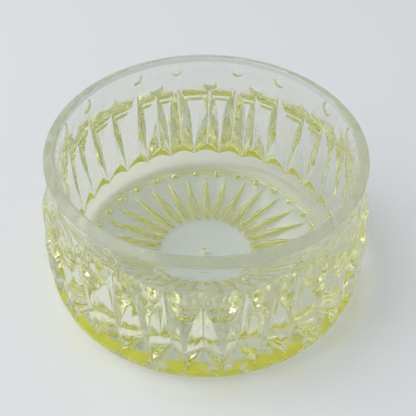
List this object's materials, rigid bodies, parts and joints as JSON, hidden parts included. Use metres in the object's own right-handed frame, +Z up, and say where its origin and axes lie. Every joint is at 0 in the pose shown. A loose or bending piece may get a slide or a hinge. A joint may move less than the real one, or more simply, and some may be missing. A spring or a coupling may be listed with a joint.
{
  "type": "pressed glass dish",
  "caption": "Round pressed glass dish with a smooth inside, leaf-shaped V cuts round the outside and a star cut under its base.",
  "frame": {"origin": "centre of the foot ring, on the surface that the dish stands on", "axes": "+Z up along the dish's axis; +Y towards a short leaf of the pattern"},
  "size_m": [0.1282, 0.1282, 0.0635],
  "materials": {
    "glass": "clear pale yellow-green glass, fire polished"
  },
  "bodies": {
    "root": {"dish": "glass"}
  },
  "joints": []
}
